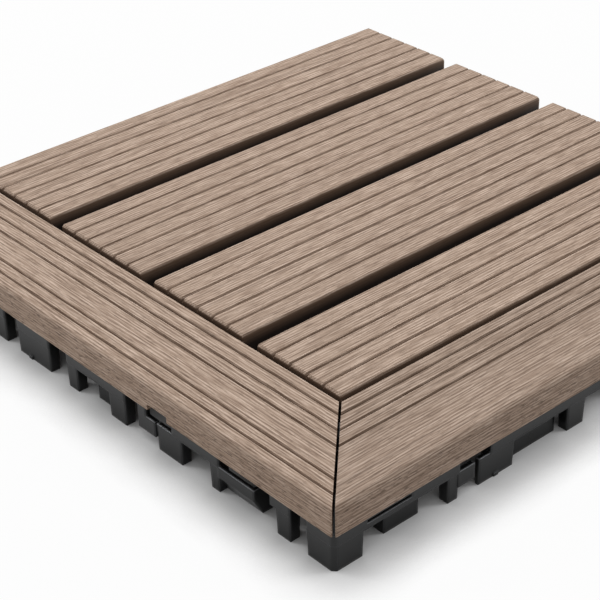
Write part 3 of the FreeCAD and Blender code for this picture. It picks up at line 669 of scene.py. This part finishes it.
# %% Notches
def notch_blocks(tree, get):
    """One block for each notch in the lower outer edge, centred on that edge."""
    deep = add(tree, "ShaderNodeMath", {0: get["Notch Deep"], 1: 2.0}, operation="MULTIPLY")
    high = add(tree, "ShaderNodeMath", {0: get["Notch High"], 1: 2.0}, operation="MULTIPLY")
    size = add(tree, "ShaderNodeCombineXYZ", {
        0: deep.outputs[0], 1: get["Notch Long"], 2: high.outputs[0]})
    block = add(tree, "GeometryNodeMeshCube", {"Size": size.outputs[0]})
    centre = add(tree, "ShaderNodeMath", {
        0: get["Notch Long"], 1: 0.5, 2: get["Notch Start"]}, operation="MULTIPLY_ADD")
    first = add(tree, "ShaderNodeCombineXYZ", {1: centre.outputs[0]})
    step = add(tree, "ShaderNodeCombineXYZ", {1: get["Notch Pitch"]})
    line = add(tree, "GeometryNodeMeshLine", {
        "Count": get["Notches"], "Start Location": first.outputs[0],
        "Offset": step.outputs[0]})
    blocks = add(tree, "GeometryNodeInstanceOnPoints", {
        "Points": line.outputs[0], "Instance": block.outputs[0]})
    return add(tree, "GeometryNodeRealizeInstances", {"Geometry": blocks.outputs[0]})


# %% The board's tree
def board_tree():
    """A plank with grooves at stated places, one sawn end and notches at its foot."""
    tree, given, out = new_tree("mitred_board", (
        "Length", "Width", "Thickness", "Groove Top", "Groove Floor", "Groove Deep",
        *GROOVES, "Outer Round", "Inner Round", "Mitre Gap", "Mitre Ease",
        "Notch Start", "Notch Long", "Notch Deep", "Notch High", "Notch Pitch"),
        ("Columns", "Notches"))
    get = given.outputs
    block, share = fine_box(tree, {
        "Vertices X": get["Columns"], "Vertices Y": BOARD_ROWS, "Vertices Z": 2})
    across = add(tree, "ShaderNodeMath", {0: share[0], 1: get["Width"]},
                 operation="MULTIPLY").outputs[0]
    final = add(tree, "ShaderNodeCombineXYZ", {
        0: across, 1: sawn_rows(tree, get, across, share[1]),
        2: lowered(tree, get, board_cut(tree, get, across), share[2])})
    placed = add(tree, "GeometryNodeSetPosition", {
        "Geometry": block, "Position": final.outputs[0]})
    notched = add(tree, "GeometryNodeMeshBoolean", operation="DIFFERENCE")
    tree.links.new(placed.outputs[0], notched.inputs["Mesh 1"])
    tree.links.new(notch_blocks(tree, get).outputs[0], notched.inputs["Mesh 2"])
    end_tree(tree, notched.outputs[0], given, out)
    return tree


# %% Place a board
def place_board(piece, swap):
    """Moves a board's mesh from the tile's corner into the frame, turned for the front."""
    for vertex in piece.data.vertices:
        place = vertex.co.yxz if swap else vertex.co.copy()
        vertex.co = place + CORNER
    if swap:
        piece.data.flip_normals()


# %% Make the border boards
BOARD_GROOVE_SHADE = 0.85
LEFT_SHIFT, LEFT_TONE = 31.0, 1.0
# The front board's deeper tone is painted shade
FRONT_SHIFT, FRONT_SHADE_TONE = 47.0, 0.86
# The front board has no outer grooves, so theirs are put off the board
NO_GROOVE = -10 * MM
BOARD_SIZES = {
    "Width": BOARD, "Thickness": PLANK, "Outer Round": 2.0 * MM, "Inner Round": 0.8 * MM,
    "Mitre Gap": MITRE, "Mitre Ease": MITRE_EASE,
    "Columns": round(BOARD / COLUMN) + 1, **BOARD_GROOVE, **NOTCH}

mitred_board = board_tree()
left_coat = composite("brushed_composite_left", 1, (LEFT_LO.x, LEFT_HI.x),
                      (CORNER.x + BOARD / 2, FAR_OFF), LEFT_HI.y,
                      LEFT_SHIFT, LEFT_TONE, BOARD_GROOVE_SHADE)
left_board = run_tree("brushed_border_left", mitred_board, {
    **BOARD_SIZES, **GROOVES, "Length": LEFT_HI.y - CORNER.y, "Notches": 2,
    "Material": left_coat})
place_board(left_board, False)
finish_piece(left_board, "border_board_left")

front_coat = composite("brushed_composite_front", 0, (FRONT_LO.y, FRONT_HI.y),
                       (CORNER.y + BOARD / 2, FAR_OFF), FRONT_HI.x,
                       FRONT_SHIFT, FRONT_SHADE_TONE, BOARD_GROOVE_SHADE)
front_board = run_tree("brushed_border_front", mitred_board, {
    **BOARD_SIZES, **GROOVES, "Groove 4": NO_GROOVE, "Groove 5": NO_GROOVE,
    "Length": FRONT_HI.x - CORNER.x, "Notches": 0, "Material": front_coat})
place_board(front_board, True)
finish_piece(front_board, "border_board_front")

# %% [markdown]
# ## Screws
#
# Small stainless pan-head screws hold the planks from below, their heads seated under the
# solid pads of the lattice. They show only when the tile is turned over. One screw is
# turned from its outline, gets a cross recess by a boolean, and Geometry Nodes set a copy
# at each place that the frame's own screws stand.

# %% Stainless steel
STEEL = "#C9C8C4"
WEAR = 1.2 * MM
POLISHED, HANDLED = 0.22, 0.42


def turned_steel():
    """Cold-formed stainless steel: bright, slightly dulled by handling."""
    material, tree = new_material("stainless_steel")
    place = add(tree, "ShaderNodeTexCoord").outputs["Object"]
    wear = add(tree, "ShaderNodeTexNoise", {
        "Vector": place, "Scale": 1 / WEAR, "Detail": 2.0})
    rough = add(tree, "ShaderNodeMapRange", {
        "Value": wear.outputs["Fac"], "To Min": POLISHED, "To Max": HANDLED})
    shader = add(tree, "ShaderNodeBsdfPrincipled", {
        "Base Color": linear(STEEL), "Metallic": 1.0, "Roughness": rough.outputs[0]})
    add(tree, "ShaderNodeOutputMaterial", {"Surface": shader.outputs[0]})
    return material


# %% A screw's body
HEAD, HEAD_HIGH, SHANK, SHANK_LONG = 3.5 * MM, 2.2 * MM, 1.75 * MM, 14.0 * MM
THREAD_PITCH, THREAD_DEEP = 1.4 * MM, 0.35 * MM
TURNING_STEPS = 20
# The pan head's outline, as shares of its radius and height
HEAD_OUTLINE = ((0, -1), (0.6, -1), (0.86, -0.86), (1, -0.5), (1, 0))


def screw_mesh():
    """A screw with its head down, its seat at Z = 0, and a ringed shank."""
    outline = [(HEAD * out, HEAD_HIGH * up) for out, up in HEAD_OUTLINE] + [(SHANK, 0)]
    tip = SHANK_LONG - 2 * SHANK
    for turn in range(1, int(tip / THREAD_PITCH)):
        height = turn * THREAD_PITCH
        outline += [(SHANK - THREAD_DEEP, height), (SHANK, height + THREAD_PITCH / 2)]
    outline += [(SHANK - THREAD_DEEP, tip), (0, SHANK_LONG)]
    shape = bmesh.new()
    points = [shape.verts.new((r, 0, z)) for r, z in outline]
    for start, stop in zip(points, points[1:]):
        shape.edges.new((start, stop))
    bmesh.ops.spin(shape, geom=shape.verts[:] + shape.edges[:], axis=(0, 0, 1),
                   cent=(0, 0, 0), angle=2 * math.pi, steps=TURNING_STEPS, use_merge=True)
    bmesh.ops.remove_doubles(shape, verts=shape.verts, dist=1e-6)
    bmesh.ops.recalc_face_normals(shape, faces=shape.faces)
    mesh = bpy.data.meshes.new("screw")
    shape.to_mesh(mesh)
    shape.free()
    return mesh


# %% A screw's recess
RECESS_LONG, RECESS_WIDE, RECESS_DEEP = 3.6 * MM, 0.9 * MM, 1.3 * MM


def recess_mesh():
    """The cross that the driver fits, as two crossed blocks."""
    shape = bmesh.new()
    for size in ((RECESS_LONG, RECESS_WIDE), (RECESS_WIDE, RECESS_LONG)):
        scale = Matrix.Diagonal((size[0], size[1], 2 * RECESS_DEEP, 1))
        move = Matrix.Translation((0, 0, -HEAD_HIGH))
        bmesh.ops.create_cube(shape, size=1.0, matrix=move @ scale)
    mesh = bpy.data.meshes.new("recess")
    shape.to_mesh(mesh)
    shape.free()
    return mesh


def one_screw():
    """The screw less its recess."""
    screw = bpy.data.objects.new("one_screw", screw_mesh())
    recess = bpy.data.objects.new("recess", recess_mesh())
    for thing in (screw, recess):
        bpy.context.collection.objects.link(thing)
    cut = screw.modifiers.new("recess", "BOOLEAN")
    cut.object = recess
    cut.operation = "DIFFERENCE"
    cut.use_self = True
    graph = bpy.context.evaluated_depsgraph_get()
    mesh = bpy.data.meshes.new_from_object(screw.evaluated_get(graph))
    for thing in (screw, recess):
        bpy.data.objects.remove(thing)
    return mesh


# %% Where the screws stand
SAME_SCREW = 2.5 * HEAD


def screw_seats():
    """The seat of each screw: the frame's screws, gathered by their place in plan."""
    groups = {}
    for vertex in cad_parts["fixing_screws"].data.vertices:
        for key in groups:
            if (vertex.co.xy - Vector(key)).length < SAME_SCREW:
                groups[key].append(vertex.co.copy())
                break
        else:
            groups[tuple(vertex.co.xy)] = [vertex.co.copy()]
    seats = []
    for spots in groups.values():
        low = Vector([min(spot[i] for spot in spots) for i in range(3)])
        high = Vector([max(spot[i] for spot in spots) for i in range(3)])
        middle = (low + high) / 2
        seats.append((middle.x, middle.y, low.z + HEAD_HIGH))
    return seats


def screw_tree(template):
    """A copy of the template at each point."""
    tree, given, out = new_tree("screws_at_points", ("Size",))
    info = add(tree, "GeometryNodeObjectInfo", {"Object": template})
    copies = add(tree, "GeometryNodeInstanceOnPoints", {
        "Points": given.outputs["Geometry"], "Instance": info.outputs["Geometry"],
        "Scale": given.outputs["Size"]})
    end_tree(tree, copies.outputs[0], given, out)
    return tree


# %% Make the screws
template = bpy.data.objects.new("screw_template", one_screw())
bpy.context.collection.objects.link(template)
seats = screw_seats()
screws = run_tree("cross_recess_screws", screw_tree(template), {
    "Size": 1.0, "Material": turned_steel()}, seats)
bpy.data.objects.remove(template)
finish_piece(screws, "fixing_screws")
print(len(seats), "screws")

# %% [markdown]
# ## Floor and sky
#
# The tile stands on a white sweep in soft daylight. A real white floor under studio light
# comes out white only if the light is turned up until pale things burn out. So the light
# stays plain, and the floor adds a little glow of its own that only the camera sees: it
# looks white, and still takes the tile's shadow. Close to the tile the glow fades with
# ambient occlusion, a painted contact shadow. The sky is white to the camera too, and
# lights the tile at less than half of that.


# %% What the camera sees
def seen_share(tree):
    """1 for what the camera, a glossy face or glass sees of the room, 0 for its light."""
    ray = add(tree, "ShaderNodeLightPath")
    seen = add(tree, "ShaderNodeMath", {
        0: ray.outputs["Is Camera Ray"], 1: ray.outputs["Is Glossy Ray"]},
        operation="MAXIMUM")
    return add(tree, "ShaderNodeMath", {
        0: seen.outputs[0], 1: ray.outputs["Is Transmission Ray"]},
        operation="MAXIMUM").outputs[0]


# %% Floor
FLOOR_HALF = 6.0
PAPER = 0.7
FLOOR_GLOW = 0.94
SHADOW_REACH, SHADOW_CURVE, SHADOW_RAYS = 26 * MM, 3.5, 8


def white_floor():
    """Pale matt sweep. Its glow fades where the tile stands over it or close by, a painted
    contact shadow.
    """
    material, tree = new_material("white_floor")
    paper = add(tree, "ShaderNodeBsdfDiffuse", {"Color": (PAPER, PAPER, PAPER, 1.0)})
    glow = add(tree, "ShaderNodeEmission", {"Color": (1.0, 1.0, 1.0, 1.0), "Strength": 1.0})
    # Painted contact shadow: the glow fades with ambient occlusion
    open_sky = add(tree, "ShaderNodeAmbientOcclusion", {"Distance": SHADOW_REACH},
                   samples=SHADOW_RAYS)
    faded = add(tree, "ShaderNodeMath", {0: open_sky.outputs["AO"], 1: SHADOW_CURVE},
                operation="POWER")
    seen = add(tree, "ShaderNodeMath", {0: seen_share(tree), 1: faded.outputs[0]},
               operation="MULTIPLY")
    share = add(tree, "ShaderNodeMath", {0: seen.outputs[0], 1: FLOOR_GLOW},
                operation="MULTIPLY")
    mixed = add(tree, "ShaderNodeMixShader", {
        0: share.outputs[0], 1: paper.outputs[0], 2: glow.outputs[0]})
    add(tree, "ShaderNodeOutputMaterial", {"Surface": mixed.outputs[0]})
    return material


floor_mesh = bpy.data.meshes.new("floor")
floor_mesh.from_pydata([(x, y, 0) for x, y in (
    (-FLOOR_HALF, -FLOOR_HALF), (FLOOR_HALF, -FLOOR_HALF),
    (FLOOR_HALF, FLOOR_HALF), (-FLOOR_HALF, FLOOR_HALF))], [], [(0, 1, 2, 3)])
floor_mesh.materials.append(white_floor())
floor = bpy.data.objects.new("floor", floor_mesh)
bpy.context.collection.objects.link(floor)
print("floor", 2 * FLOOR_HALF, "m square")

# %% Sky
SKY_LIGHT = 0.47

world = bpy.data.worlds.new("white_studio")
bpy.context.scene.world = world
world.use_nodes = True
sky = world.node_tree
sky.nodes.clear()
strength = add(sky, "ShaderNodeMapRange", {
    "Value": seen_share(sky), "To Min": SKY_LIGHT, "To Max": 1.0})
backdrop = add(sky, "ShaderNodeBackground", {
    "Color": (1.0, 1.0, 1.0, 1.0), "Strength": strength.outputs[0]})
add(sky, "ShaderNodeOutputWorld", {"Surface": backdrop.outputs[0]})
print("sky lights at", SKY_LIGHT)

# %% [markdown]
# ## Lamps
#
# A soft box high above the far side lights the top and leaves soft shadows in grooves and
# gaps. Two small lamps stand lower, beyond the far ends of the two border sides. Their
# weak light rakes along these sides and draws the upper edges of the black base, which
# would otherwise be lost against one another. All three are square area lamps, because a
# lamp with some size gives shadows with soft edges.

# %% Lamps
# Name, place, side of the square in metres and power in watts
SOFT_BOX = ("soft_box", Vector((0.35, 0.6, 1.6)), 0.7, 14.0)
LEFT_LAMP = ("left_lamp", Vector((-0.75, 0.96, 0.75)), 0.3, 3.5)
FRONT_LAMP = ("front_lamp", Vector((0.84, -0.75, 0.85)), 0.3, 3.5)


def soft_lamp(name, spot, size, power):
    """A square lamp that faces the tile."""
    data = bpy.data.lights.new(name, "AREA")
    data.shape = "SQUARE"
    data.size = size
    data.energy = power
    lamp = bpy.data.objects.new(name, data)
    lamp.location = spot
    lamp.rotation_euler = (-spot).to_track_quat("-Z", "Y").to_euler()
    bpy.context.collection.objects.link(lamp)
    print(name, power, "W")


for lamp in (SOFT_BOX, LEFT_LAMP, FRONT_LAMP):
    soft_lamp(*lamp)

# %% [markdown]
# ## Camera
#
# The camera looks down on the tile's near corner, so that both border boards run away from
# it. Its place, the way it faces and its lens were fitted to the edges of the real tile in
# a photograph. The up direction follows from the other two, which keeps them square.

# %% Camera
CAMERA_AT = Vector((-0.4596, -0.4905, 0.3972))
FORWARD = Vector((0.5592, 0.6418, -0.5248)).normalized()
RIGHT = Vector((0.7461, -0.6656, -0.0190)).normalized()
UP = RIGHT.cross(FORWARD).normalized()
LENS = 103.1

camera_data = bpy.data.cameras.new("camera")
camera_data.lens = LENS
camera_data.sensor_width = 36.0
camera = bpy.data.objects.new("camera", camera_data)
turned = Matrix((RIGHT, UP, -FORWARD)).transposed().to_4x4()
camera.matrix_world = Matrix.Translation(CAMERA_AT) @ turned
bpy.context.collection.objects.link(camera)
bpy.context.scene.camera = camera
bpy.context.scene.view_settings.view_transform = "Standard"
print("camera", round(CAMERA_AT.length, 3), "m away, lens", LENS, "mm")
